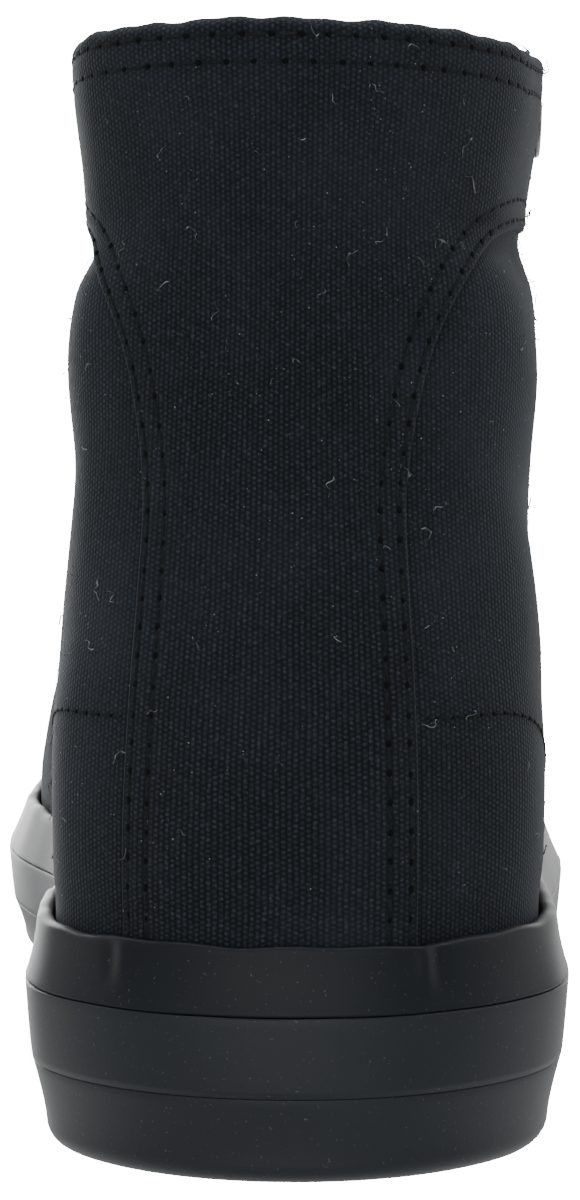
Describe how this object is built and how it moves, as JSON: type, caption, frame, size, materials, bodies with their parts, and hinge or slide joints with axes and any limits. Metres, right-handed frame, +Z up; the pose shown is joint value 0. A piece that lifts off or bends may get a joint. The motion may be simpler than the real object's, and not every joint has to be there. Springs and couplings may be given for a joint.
{
  "type": "high top sneaker",
  "caption": "Black canvas high top sneaker for the right foot, with a stitched heel and ankle panel, a three-band rubber sole and a rubber toe cap.",
  "frame": {"origin": "on the floor under the centre of the heel, where the outsole's heel rests", "axes": "+Z up, +Y towards the toe along the shoe, +X towards the lateral (outer) side of this right shoe"},
  "size_m": [0.1035, 0.2897, 0.1644],
  "materials": {
    "rubber": "satin",
    "canvas": "matte",
    "panel_canvas": "matte",
    "lining": "matte",
    "eyelet_metal": "satin",
    "lace_cotton": "matte"
  },
  "bodies": {
    "root": {"eyelet_lateral_1": "eyelet_metal", "eyelet_lateral_2": "eyelet_metal", "eyelet_lateral_3": "eyelet_metal", "eyelet_lateral_4": "eyelet_metal", "eyelet_lateral_5": "eyelet_metal", "eyelet_lateral_6": "eyelet_metal", "eyelet_medial_1": "eyelet_metal", "eyelet_medial_2": "eyelet_metal", "eyelet_medial_3": "eyelet_metal", "eyelet_medial_4": "eyelet_metal", "eyelet_medial_5": "eyelet_metal", "eyelet_medial_6": "eyelet_metal", "foxing_strip": "rubber", "heel_panel": "panel_canvas", "insole": "lining", "lace_bar": "lace_cotton", "lace_crossing_1": "lace_cotton", "lace_crossing_2": "lace_cotton", "lace_crossing_3": "lace_cotton", "lace_crossing_4": "lace_cotton", "lace_crossing_5": "lace_cotton", "midsole": "rubber", "outsole": "rubber", "toe_bumper": "rubber", "toe_cap": "rubber", "tongue": "canvas", "upper": "canvas"}
  },
  "joints": []
}
